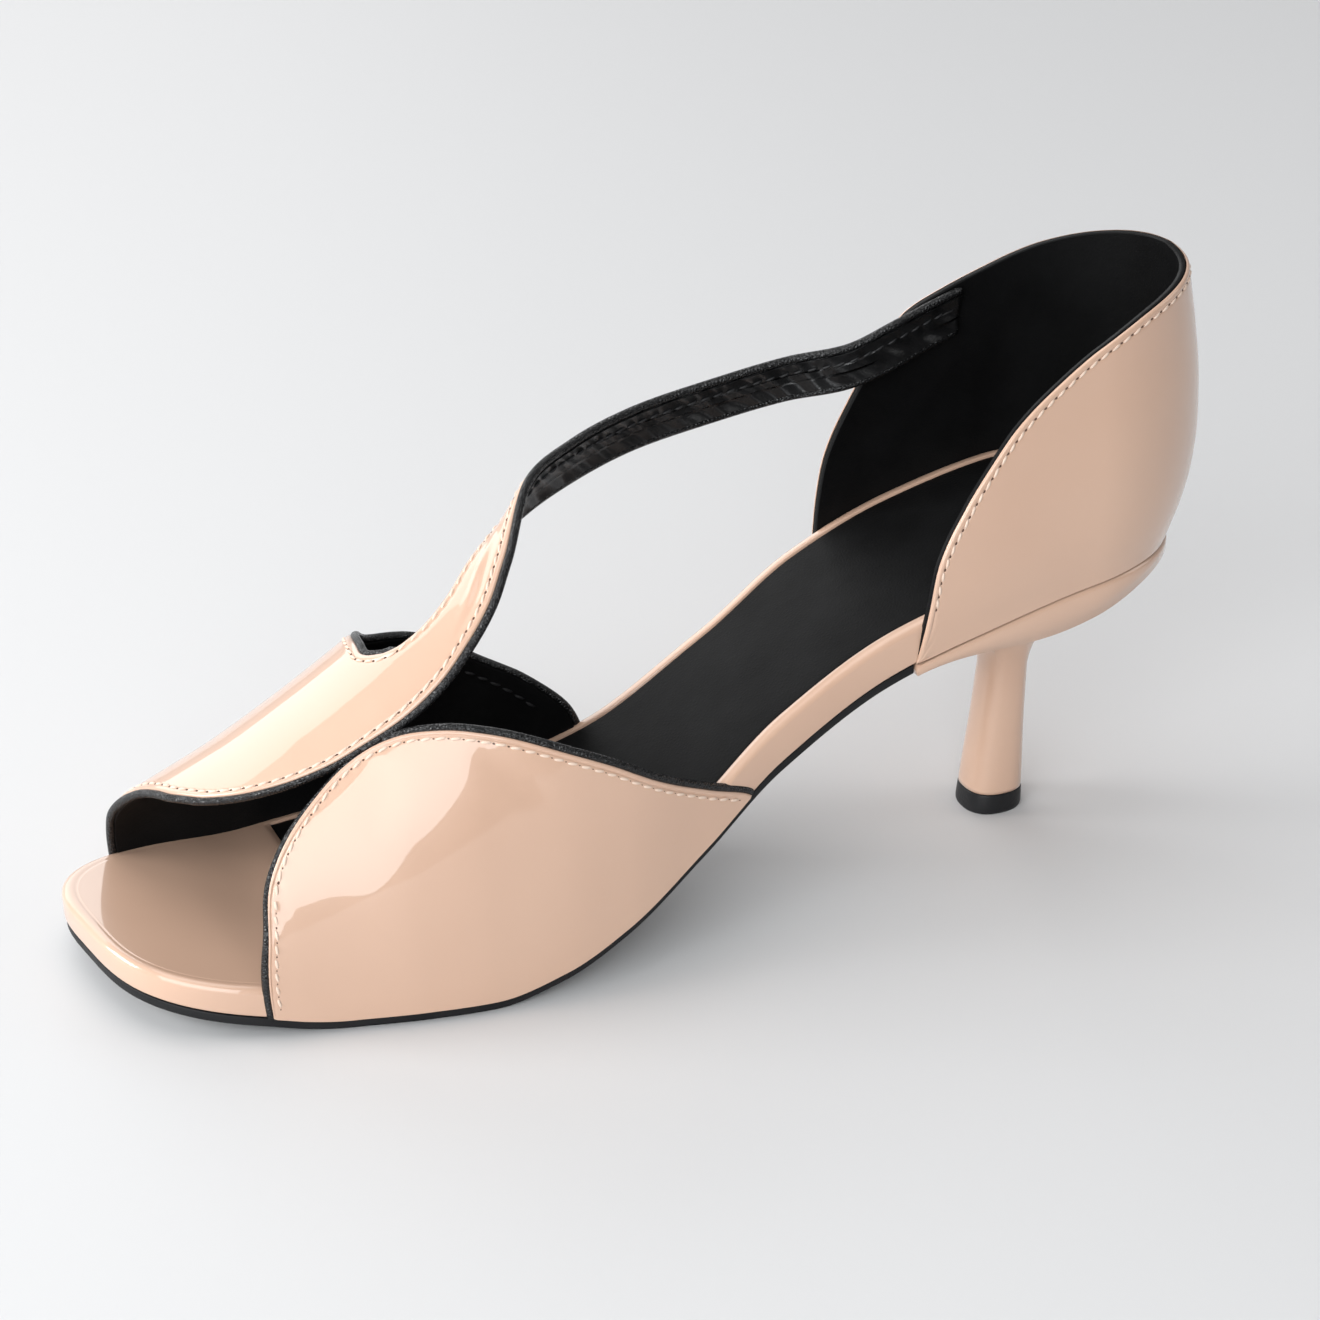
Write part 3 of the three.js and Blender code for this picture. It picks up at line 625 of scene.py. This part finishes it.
def make_insock():
    under = lambda x: platform_top(x) - RECESS_DEPTH + CLEARANCE
    top = lambda x: under(x) + INSOCK_THICKNESS
    crown = 0.35
    gap = CLEARANCE / 2
    rings = [(0.4, under, 0.0), (0.0, under, 1.0), (0.0, lambda x: top(x) - 0.5, 1.0)]
    rings += rounded(top, 0.5, 4)[1:]
    rings += [(0.5, lambda x, s=s: top(x) + crown * (1 - s * s), s) for s in (0.96, 0.9, 0.8, 0.6, 0.4, 0.2, 0.0)]
    inset = PLATFORM_INSET + (RIM_WIDTH + gap)
    piece = layer("insock_leather", INSOCK, rings, lambda d: inset + d,
                  lambda d: INSOCK_FRONT - CLEARANCE - d, constant(inset), constant(inset), 150)
    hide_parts("insock")


def make_outsole():
    side = constant(OUTSOLE_INSET)
    rings = [(0.5, sole_underside, s) for s in (0.0, 0.5)]
    rings += rounded(sole_underside, 0.5, 4, turn=-1)[::-1]
    rings += rounded(sole_top, 0.35, 3)
    rings += [(0.35, sole_top, s) for s in (0.5, 0.0)]
    piece = layer("outsole_leather", OUTSOLE, rings, lambda d: SEAT_LENGTH + CLEARANCE,
                  lambda d: SOLE_LENGTH - OUTSOLE_INSET - d, side, side, 170)
    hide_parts("outsole")


# Heel
def seat_outline(breast_points, side_points):
    outer_y, inner_y = outline(np.array([SEAT_LENGTH]))
    middle = float(outer_y[0] + inner_y[0]) / 2
    share = np.arange(breast_points) / breast_points
    angle = np.arange(side_points + 1) / side_points * math.pi / 2
    x_side = SEAT_LENGTH * np.cos(angle) ** 1.5
    side = outline(x_side)
    halves = []
    for edge in side:
        x = np.concatenate([np.full(breast_points, SEAT_LENGTH), x_side])
        y = np.concatenate([lerp(middle, float(edge[0]), share), edge])
        halves.append(points(x, y, 0))
    return np.concatenate([halves[0], halves[1][1:-1][::-1]])


def column_ring(seat, height, z):
    length = COLUMN_LENGTH / 2 * float(curve(COLUMN, 1, height))
    width = COLUMN_WIDTH / 2 * float(curve(COLUMN, 2, height))
    centre = COLUMN_PLACE + COLUMN_LENGTH * float(curve(COLUMN, 3, height))
    dx = (seat[:, 0] - COLUMN_PLACE) / (SEAT_LENGTH / 2)
    dy = seat[:, 1] / (HALF_BALL * 0.686)
    reach = (np.abs(dx) ** COLUMN_ROUNDNESS + np.abs(dy) ** COLUMN_ROUNDNESS) ** (1 / COLUMN_ROUNDNESS)
    return points(centre + length * dx / reach, width * dy / reach, z)


def make_heel():
    column_steps, flare_steps = 40, 60
    seat_rounding = [(0, 0.9), (0.12, 0.5), (0.4, 0.18), (0.9, 0.0)]  # inset, drop
    seat_middle, seat_hollow = 30.0, 0.4
    seat = seat_outline(24, 90)
    rings = [column_ring(seat, TIP_HEIGHT / WAIST_HEIGHT, TIP_HEIGHT + CLEARANCE / 2)]
    for k in range(1, column_steps + 1):
        z = lerp(TIP_HEIGHT + CLEARANCE / 2, WAIST_HEIGHT, k / column_steps)
        rings.append(column_ring(seat, z / WAIST_HEIGHT, z))
    waist = rings[-1]
    x, y = seat[:, 0], seat[:, 1]
    to_front = smoothstep(x, 0, SEAT_LENGTH)
    edge = sole_underside(x) - SEAT_DROP * np.sin(np.pi * to_front)
    for k in range(1, flare_steps + 1):
        up = k / flare_steps
        reach = up ** lerp(FLARE_BACK, FLARE_FRONT, to_front)
        rings.append(points(lerp(waist[:, 0], x, reach), lerp(waist[:, 1], y, reach), lerp(WAIST_HEIGHT, edge, up)))
    top = sole_top(x)
    centre = np.array([SEAT_LENGTH / 2, 0.0])
    for inset, drop in seat_rounding:
        away = unit(seat[:, :2] - centre)
        rings.append(points(x - inset * away[:, 0], y - inset * away[:, 1], top - drop))
    middle = points(np.full(len(x), seat_middle), np.zeros(len(x)), float(sole_top(seat_middle)) - seat_hollow)
    rings.append(middle)
    grid = np.stack(rings)
    foot = points(np.full(len(x), float(rings[0][:, 0].mean())), np.zeros(len(x)), TIP_HEIGHT + CLEARANCE / 2)
    grid = np.concatenate([foot[None], grid])
    rows, columns = grid.shape[:2]
    piece = make_mesh("heel_patent", grid.reshape(-1, 3), grid_faces(rows, columns, wrap_columns=True), PATENT)
    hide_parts("heel")


def make_tip():
    seat = seat_outline(16, 48)
    rings = []
    # scale, height
    levels = [(0.0, 0.0), (0.9, 0.0), (0.965, 0.0), (1.0, 0.35), (1.015, 0.9),
              (1.01, TIP_HEIGHT - 0.4), (0.99, TIP_HEIGHT), (0.0, TIP_HEIGHT)]
    for scale, z in levels:
        ring = column_ring(seat, z / WAIST_HEIGHT, z)
        mid = points(ring[:, 0].mean(), 0.0, z)
        rings.append(mid + (ring - mid) * scale)
    grid = np.stack(rings)
    rows, columns = grid.shape[:2]
    piece = make_mesh("heel_tip_rubber", grid.reshape(-1, 3), grid_faces(rows, columns, wrap_columns=True), RUBBER)
    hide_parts("heel_tip")


# Leather walls: a patent layer with a folded edge, piping along it and a lining behind
def patent_sheet(name, base, normals, near, far, width, shares):
    distance = np.full(shares.shape, 1e3)
    if near:
        distance = np.minimum(distance, shares * width[:, None])
    if far:
        distance = np.minimum(distance, (1 - shares) * width[:, None])
    height = edge_profile(distance)
    outer = base + normals * height[..., None]
    rows, columns = outer.shape[:2]
    return make_mesh(name, outer.reshape(-1, 3), grid_faces(rows, columns), PATENT)


def lining_sheet(name, base, normals, material=LINING):
    """Closed layer under a patent sheet. Its UV is millimetres along and round."""
    top = base - normals * (EDGE_ROLL + LINING_GAP)
    low = base - normals * WALL
    grid = np.concatenate([top, low[:, ::-1]], axis=1)
    rows, columns = grid.shape[:2]
    steps_along = np.linalg.norm(np.diff(base.mean(axis=1), axis=0), axis=1)
    steps_over = np.linalg.norm(np.diff(grid, axis=1), axis=2)
    run = np.concatenate([[0], np.cumsum(steps_along)])
    over = np.concatenate([np.zeros((rows, 1)), np.cumsum(steps_over, axis=1)], axis=1)
    uv = np.stack(np.broadcast_arrays(run[:, None], over), axis=2).reshape(-1, 2)
    return make_mesh(name, grid.reshape(-1, 3), tube_faces(rows, columns), material, uv=uv)


def piping(name, edge, inward, normals, sunk):
    """Rolled black edge that stands out past the patent's fold."""
    sides, below = 12, 0.95
    inward = unit(inward)
    centre = edge - inward * PIPING_OUT - normals * (below + np.reshape(sunk, (-1, 1)))
    angle = np.arange(sides) / sides * 2 * math.pi
    ring = np.cos(angle)[None, :, None] * inward[:, None] + np.sin(angle)[None, :, None] * normals[:, None]
    grid = centre[:, None] + ring * PIPING_RADIUS
    return make_mesh(name, grid.reshape(-1, 3), tube_faces(len(grid), sides), PIPING)


def seam_path(base, normals, shares, width, side, inset=SEAM_INSET):
    """Points and normals at an inset from one edge of a sheet."""
    target = inset / width if side == "near" else 1 - inset / width
    target = np.clip(target, 0, 1)
    where, up = [], []
    for i in range(len(base)):
        where.append([np.interp(target[i], shares[i], base[i, :, k]) for k in range(3)])
        up.append([np.interp(target[i], shares[i], normals[i, :, k]) for k in range(3)])
    return np.array(where), unit(np.array(up))


def along_path(path, normals, marks):
    """Places, directions ahead and normals at distances along a path."""
    reach = 0.6
    steps = np.linalg.norm(np.diff(path, axis=0), axis=1)
    run = np.concatenate([[0], np.cumsum(steps)])
    at = lambda values, where: np.stack([np.interp(where, run, values[:, k]) for k in range(3)], axis=1)
    return at(path, marks), unit(at(path, marks + reach) - at(path, marks - reach)), unit(at(normals, marks))


def path_length(path):
    return float(np.linalg.norm(np.diff(path, axis=0), axis=1).sum())


def ovals(name, where, along, up, half, radius, lift, material, twist=0.0, rings=6, sides=8):
    """Small rounded grains along a seam."""
    side = unit(np.cross(up, along))
    along, side = (along * math.cos(twist) + side * math.sin(twist),
                   side * math.cos(twist) - along * math.sin(twist))
    verts, faces = [], []
    for k in range(len(where)):
        faces.extend(tube_faces(rings, sides, len(verts)))
        for s in np.linspace(-1, 1, rings):
            thick = radius * math.sqrt(max(1 - abs(s) ** 2.6, 0.02))
            middle = where[k] + along[k] * half * s + up[k] * (lift * (1 - s * s))
            for n in range(sides):
                a = 2 * math.pi * n / sides
                verts.append(middle + side[k] * thick * math.cos(a) + up[k] * thick * 0.85 * math.sin(a))
    return make_mesh(name, np.array(verts), faces, material)


def stitch_seam(name, path, normals, start=2.0, end=2.0, thread=THREAD, holes=True, sink=0.16):
    length = path_length(path) - start - end
    count = max(2, int(length / STITCH_PITCH))
    pitch = length / count
    where, along, up = along_path(path, normals, start + pitch * (np.arange(count) + 0.5))
    ovals(name, where - up * sink, along, up, STITCH_LENGTH / 2, STITCH_RADIUS, STITCH_LIFT, thread, STITCH_TWIST)
    # Dark discs at the needle holes, painted shade of the holes
    if holes:
        where, along, up = along_path(path, normals, start + pitch * np.arange(count + 1))
        ovals(name + "_hole_painted_shade", where - up * (sink + HOLE_SINK), along, up, HOLE_LENGTH / 2, HOLE_RADIUS, 0.0, HOLE_SHADE,
              rings=5, sides=7)


def steady(vectors):
    """Fixes directions at the ends, where rows shrink to a point."""
    sound = 6  # rows from an end
    out = vectors.copy()
    for i in range(len(out)):
        if np.linalg.norm(out[i]) < 0.5:
            out[i] = out[min(max(i, sound), len(out) - 1 - sound)]
    return unit(out)


def wing_normals(x, around):
    """Outward normals of the last's skin by small steps."""
    step, turn, end = 0.5, 0.004, 0.0005
    low, high = np.clip(around - turn, end, 1), np.clip(around + turn, 0, 1 - end)
    within = np.clip(around, end, 1 - end)
    across = last_point(x, high, 0) - last_point(x, low, 0)
    along = last_point(x + step, within, 0) - last_point(x - step, within, 0)
    return unit(np.cross(across, along))


def creased(base, normals, shares, rows, creases):
    """Lifts a sheet by its soft creases. rows holds the table row of each row of the sheet."""
    t = np.linspace(0, 1, 32)
    lift = np.zeros(base.shape[:2])
    for row_from, share_from, row_to, share_to, half, height in creases:
        path = []
        for row, share in zip(lerp(row_from, row_to, t), lerp(share_from, share_to, t)):
            place = float(np.interp(row, rows, np.arange(len(rows))))
            i = min(int(place), len(rows) - 2)
            ends = [[np.interp(share, shares[n], base[n, :, k]) for k in range(3)] for n in (i, i + 1)]
            path.append(lerp(np.array(ends[0]), np.array(ends[1]), place - i))
        distance = np.linalg.norm(base[None] - np.array(path)[:, None, None], axis=-1)
        nearest = distance.argmin(axis=0)
        lift += height * np.sin(np.pi * t[nearest]) ** 0.8 * np.exp(-((distance.min(axis=0) / half) ** 2))
    return base + normals * lift[..., None]


def make_outer_wing():
    table = np.array(OUTER_WING)
    top = last_point(SOLE_LENGTH * table[:, 0], table[:, 1], 0)
    marks, query = evenly(top[:, None], SHEET_STEP)
    keys = spline(table, marks, query)
    keys[:, 1] = np.clip(keys[:, 1], 0, 1)
    rough = last_point(SOLE_LENGTH * keys[:, 0], keys[:, 1], 0) - last_point(SOLE_LENGTH * keys[:, 2], 0, 0)
    width = np.maximum(np.linalg.norm(rough, axis=1) * 1.08, 0.05)
    shares = shares_across(width, False, True, 46)
    at = lerp(keys[:, 2:3], keys[:, 0:1], shares)
    around = keys[:, 1:2] * shares
    base = last_point(SOLE_LENGTH * at, around, 0)
    normals = wing_normals(SOLE_LENGTH * at, around)
    base = creased(base, normals, shares, np.interp(query, marks, np.arange(len(marks))), WING_CREASES)
    patent_sheet("outer_wing_patent", base, normals, False, True, width, shares)
    lining_sheet("outer_wing_lining", base, normals)
    edge, up = base[:, -1], normals[:, -1]
    tangent = unit(np.gradient(edge, axis=0))
    inward = np.cross(up, tangent)
    inward *= np.sign((inward * (base[:, -4] - base[:, -1])).sum(axis=1, keepdims=True))
    inward = steady(inward)
    crossing = smoothstep(keys[:, 0], 0.745, 0.775) * (1 - smoothstep(keys[:, 0], 0.82, 0.85))
    slim = smoothstep(keys[:, 0], 0.78, 0.81) * smoothstep(keys[:, 1], 0.06, 0.18)
    rolled = edge + inward * 0.45 * slim[:, None]
    piping("outer_wing_piping", rolled, inward, up, 0.5 * crossing * (keys[:, 1] > 0.3))
    seam = edge + inward * SEAM_INSET
    stitch_seam("outer_wing_stitches", seam, up, 3.0, 2.0)


def make_panel():
    table = np.array(PANEL)
    near = last_point(SOLE_LENGTH * table[:, 0], table[:, 1], 0)
    far = last_point(SOLE_LENGTH * table[:, 2], table[:, 3], 0)
    ankle = np.array(ANKLE_STRAP)
    x = SOLE_LENGTH * ankle[:, 0]
    up_free = points(x, -HALF_BALL * ankle[:, 1], INSTEP_HEIGHT * ankle[:, 2])
    low_free = points(x, -HALF_BALL * ankle[:, 3], INSTEP_HEIGHT * ankle[:, 4])
    end = np.array(STRAP_END)
    half = STRAP_WIDTH / 2 / COUNTER_HEIGHT
    depth = np.array([2 * WALL + 2 * CLEARANCE, 2.1 * WALL, 1.65 * WALL])  # the end sinks into the lining
    up_free = np.concatenate([up_free, counter_point(-end[:, 0], end[:, 1] + half, depth)])
    low_free = np.concatenate([low_free, counter_point(-end[:, 0], end[:, 1] - half, depth)])
    ahead = np.gradient((up_free + low_free) / 2, axis=0)
    out = unit(np.cross(ahead, low_free - up_free))
    up_free, low_free = up_free + WALL * out, low_free + WALL * out
    on_last = len(table)
    edges = np.concatenate([np.stack([near, far], axis=1), np.stack([up_free, low_free], axis=1)])
    marks, query = evenly(edges, SHEET_STEP)
    flat = spline(edges.reshape(len(edges), 6), marks, query).reshape(-1, 2, 3)
    keys = spline(table, marks[:on_last], np.minimum(query, marks[on_last - 1]))
    free = smoothstep(query, marks[on_last - 4], marks[on_last - 1])
    a = last_point(SOLE_LENGTH * keys[:, 0], keys[:, 1], 0)
    b = last_point(SOLE_LENGTH * keys[:, 2], keys[:, 3], 0)
    width = np.linalg.norm(lerp(a, flat[:, 0], free[:, None]) - lerp(b, flat[:, 1], free[:, None]), axis=1)
    shares = shares_across(width, True, True, 56)
    at = lerp(keys[:, 0:1], keys[:, 2:3], shares)
    around = lerp(keys[:, 1:2], keys[:, 3:4], shares)
    skin = last_point(SOLE_LENGTH * at, around, 0)
    chord = flat[:, 0:1] + (flat[:, 1:2] - flat[:, 0:1]) * shares[..., None]
    facing = unit(np.cross(np.gradient(flat.mean(axis=1), axis=0), flat[:, 1] - flat[:, 0]))
    camber = STRAP_CAMBER * 4 * shares * (1 - shares)
    chord = chord + facing[:, None] * camber[..., None]
    base = lerp(skin, chord, free[:, None, None])
    table_row = np.interp(query, marks, np.arange(len(marks)))
    base = creased(base, grid_normals(base), shares, table_row, PANEL_CREASES)
    normals = grid_normals(base)
    sheet = patent_sheet("panel_strap_patent", base, normals, True, True, width, shares)
    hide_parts("upper")
    split = int(np.searchsorted(query, marks[on_last - 2]))
    lining_sheet("panel_lining", base[:split + 1], normals[:split + 1])
    lining_sheet("strap_lining", base[split:], normals[split:], STRAP_LINING)
    path, path_up = seam_path(base, normals, shares, width, "near", 0.3 * width)
    within = slice(int(np.searchsorted(query, marks[on_last - 1])), len(base))
    stitch_seam("strap_inner_stitches", (path - path_up * WALL)[within], -path_up[within], 2.0, 4.0,
                DARK_THREAD, False, 0.0)
    path, path_up = seam_path(base, normals, shares, width, "far", 3.2)
    within = slice(int(np.searchsorted(query, marks[1])), int(np.searchsorted(query, marks[7])))
    stitch_seam("panel_inner_stitches", (path - path_up * WALL)[within], -path_up[within], 2.0, 2.0,
                DARK_THREAD, False, 0.0)
    # The far piping is tucked under between the notch and the strap's start
    behind = smoothstep(query, marks[14], marks[15]) * (1 - smoothstep(query, marks[on_last - 1], marks[on_last]))
    for side, column, next_column in (("near", 0, 3), ("far", -1, -4)):
        edge, up = base[:, column], normals[:, column]
        inward = unit(base[:, next_column] - edge)
        tucked = behind[:, None] * (side == "far")
        edge = edge + inward * tucked * 1.2
        piping(f"panel_{side}_piping", edge, inward, up, 0.35 * tucked)
        path, path_up = seam_path(base, normals, shares, width, side, SEAM_INSET - 0.5 * tucked[:, 0])
        stitch_seam(f"panel_{side}_stitches", path, path_up, 3.0, 1.0)


def make_counter():
    count = 260
    s = np.linspace(-1, 1, count + 1)
    place = np.sign(s) * (1 - (1 - np.abs(s)) ** 1.25)
    peak = np.where(place < 0, curve(COUNTER_EDGE, 2, np.abs(place)), curve(COUNTER_EDGE, 1, np.abs(place)))
    foot = place * (1 - 0.2 * np.abs(place) ** 5 * (1 - np.abs(place) ** 30))
    top = counter_point(place, peak, 0)
    bottom = counter_point(foot, 0 * peak, 0)
    width = np.maximum(np.linalg.norm(top - bottom, axis=1), 0.05)
    shares = shares_across(width, False, True, 40)
    places, levels = lerp(foot[:, None], place[:, None], shares), peak[:, None] * shares
    base = counter_point(places, levels, 0)
    step_place = counter_point(places + 0.004, levels, 0)
    step_level = counter_point(places, levels + 0.01, 0)
    normals = unit(np.cross(step_place - base, step_level - base)) * -1
    sheet = patent_sheet("counter_patent", base, normals, False, True, width, shares)
    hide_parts("heel_counter")
    lining_sheet("counter_lining", base, normals)
    path, path_up = seam_path(base, normals, shares, width, "far")
    stitch_seam("counter_stitches", path[4:-4], path_up[4:-4], 3.0, 3.0)


make_platform()
make_insock()
make_outsole()
make_heel()
make_tip()
make_outer_wing()
make_panel()
make_counter()


# Camera: at the photograph's place beside the shoe, turned to hold the one shoe whole
CAMERA_PLACE = (353.0, 546.0, 360.0)
CAMERA_AIM = (108.0, 0.0, 48.0)
CAMERA_LENS = 96.0
camera_data = bpy.data.cameras.new("camera")
camera_data.sensor_width = 36
camera_data.lens = CAMERA_LENS
camera_data.clip_start = 0.01
camera_data.clip_end = 50
camera = bpy.data.objects.new("camera", camera_data)
bpy.context.scene.collection.objects.link(camera)
camera.location = Vector(to_frame(CAMERA_PLACE))
aim = Vector(to_frame(CAMERA_AIM)) - camera.location
camera.rotation_mode = "QUATERNION"
camera.rotation_quaternion = aim.to_track_quat("-Z", "Y")
bpy.context.scene.camera = camera


# Floor, light
def make_floor():
    mesh = bpy.data.meshes.new("floor")
    size = 6.0
    mesh.from_pydata([(-size, -size, 0), (size, -size, 0), (size, size, 0), (-size, size, 0)], [], [(0, 1, 2, 3)])
    floor = bpy.data.objects.new("floor", mesh)
    material, _, _, shader = principled("pale_floor", (0.71, 0.71, 0.713), 0.55)
    shader.inputs["Specular IOR Level"].default_value = 0.2
    mesh.materials.append(material)
    bpy.context.scene.collection.objects.link(floor)


def area_light(name, place, aim_at, size, power, colour=(1, 1, 1)):
    data = bpy.data.lights.new(name, "AREA")
    data.shape = "RECTANGLE"
    data.size, data.size_y = size
    data.energy = power
    data.color = colour
    lamp = bpy.data.objects.new(name, data)
    lamp.location = place
    lamp.rotation_mode = "QUATERNION"
    lamp.rotation_quaternion = (Vector(aim_at) - Vector(place)).to_track_quat("-Z", "Y")
    bpy.context.scene.collection.objects.link(lamp)


make_floor()
area_light("softbox_above", (0.15, -0.1, 1.4), (0.0, 0.0, 0.0), (1.2, 0.8), 5)
area_light("softbox_back", (0.18, -1.34, 0.65), (0.065, 0.0, 0.035), (1.4, 0.85), 7.5)
area_light("softbox_front", (1.017, 1.014, 0.645), (0.065, 0.028, 0.035), (1.45, 1.36), 25, (0.95, 0.98, 1.0))
area_light("softbox_toe", (1.0, -0.35, 0.42), (0.1, 0.0, 0.015), (0.6, 0.5), 8)
area_light("softbox_heel", (-1.2, 0.35, 0.75), (-0.05, 0.0, 0.06), (0.5, 0.9), 2)

world = bpy.data.worlds.new("studio")
bpy.context.scene.world = world
world.use_nodes = True
nodes, links = world.node_tree.nodes, world.node_tree.links
background = nodes["Background"]
direction = nodes.new("ShaderNodeSeparateXYZ")
links.new(nodes.new("ShaderNodeTexCoord").outputs["Generated"], direction.inputs["Vector"])
fade = nodes.new("ShaderNodeMapRange")
fade.interpolation_type = "SMOOTHSTEP"
fade.inputs["From Min"].default_value = -0.55
fade.inputs["From Max"].default_value = 0.45
fade.inputs["To Min"].default_value = 0.45
fade.inputs["To Max"].default_value = 0.1
links.new(direction.outputs["Y"], fade.inputs["Value"])
links.new(fade.outputs["Result"], background.inputs["Strength"])
background.inputs["Color"].default_value = (0.97, 0.98, 1.0, 1)
bpy.context.scene.view_settings.view_transform = "Standard"
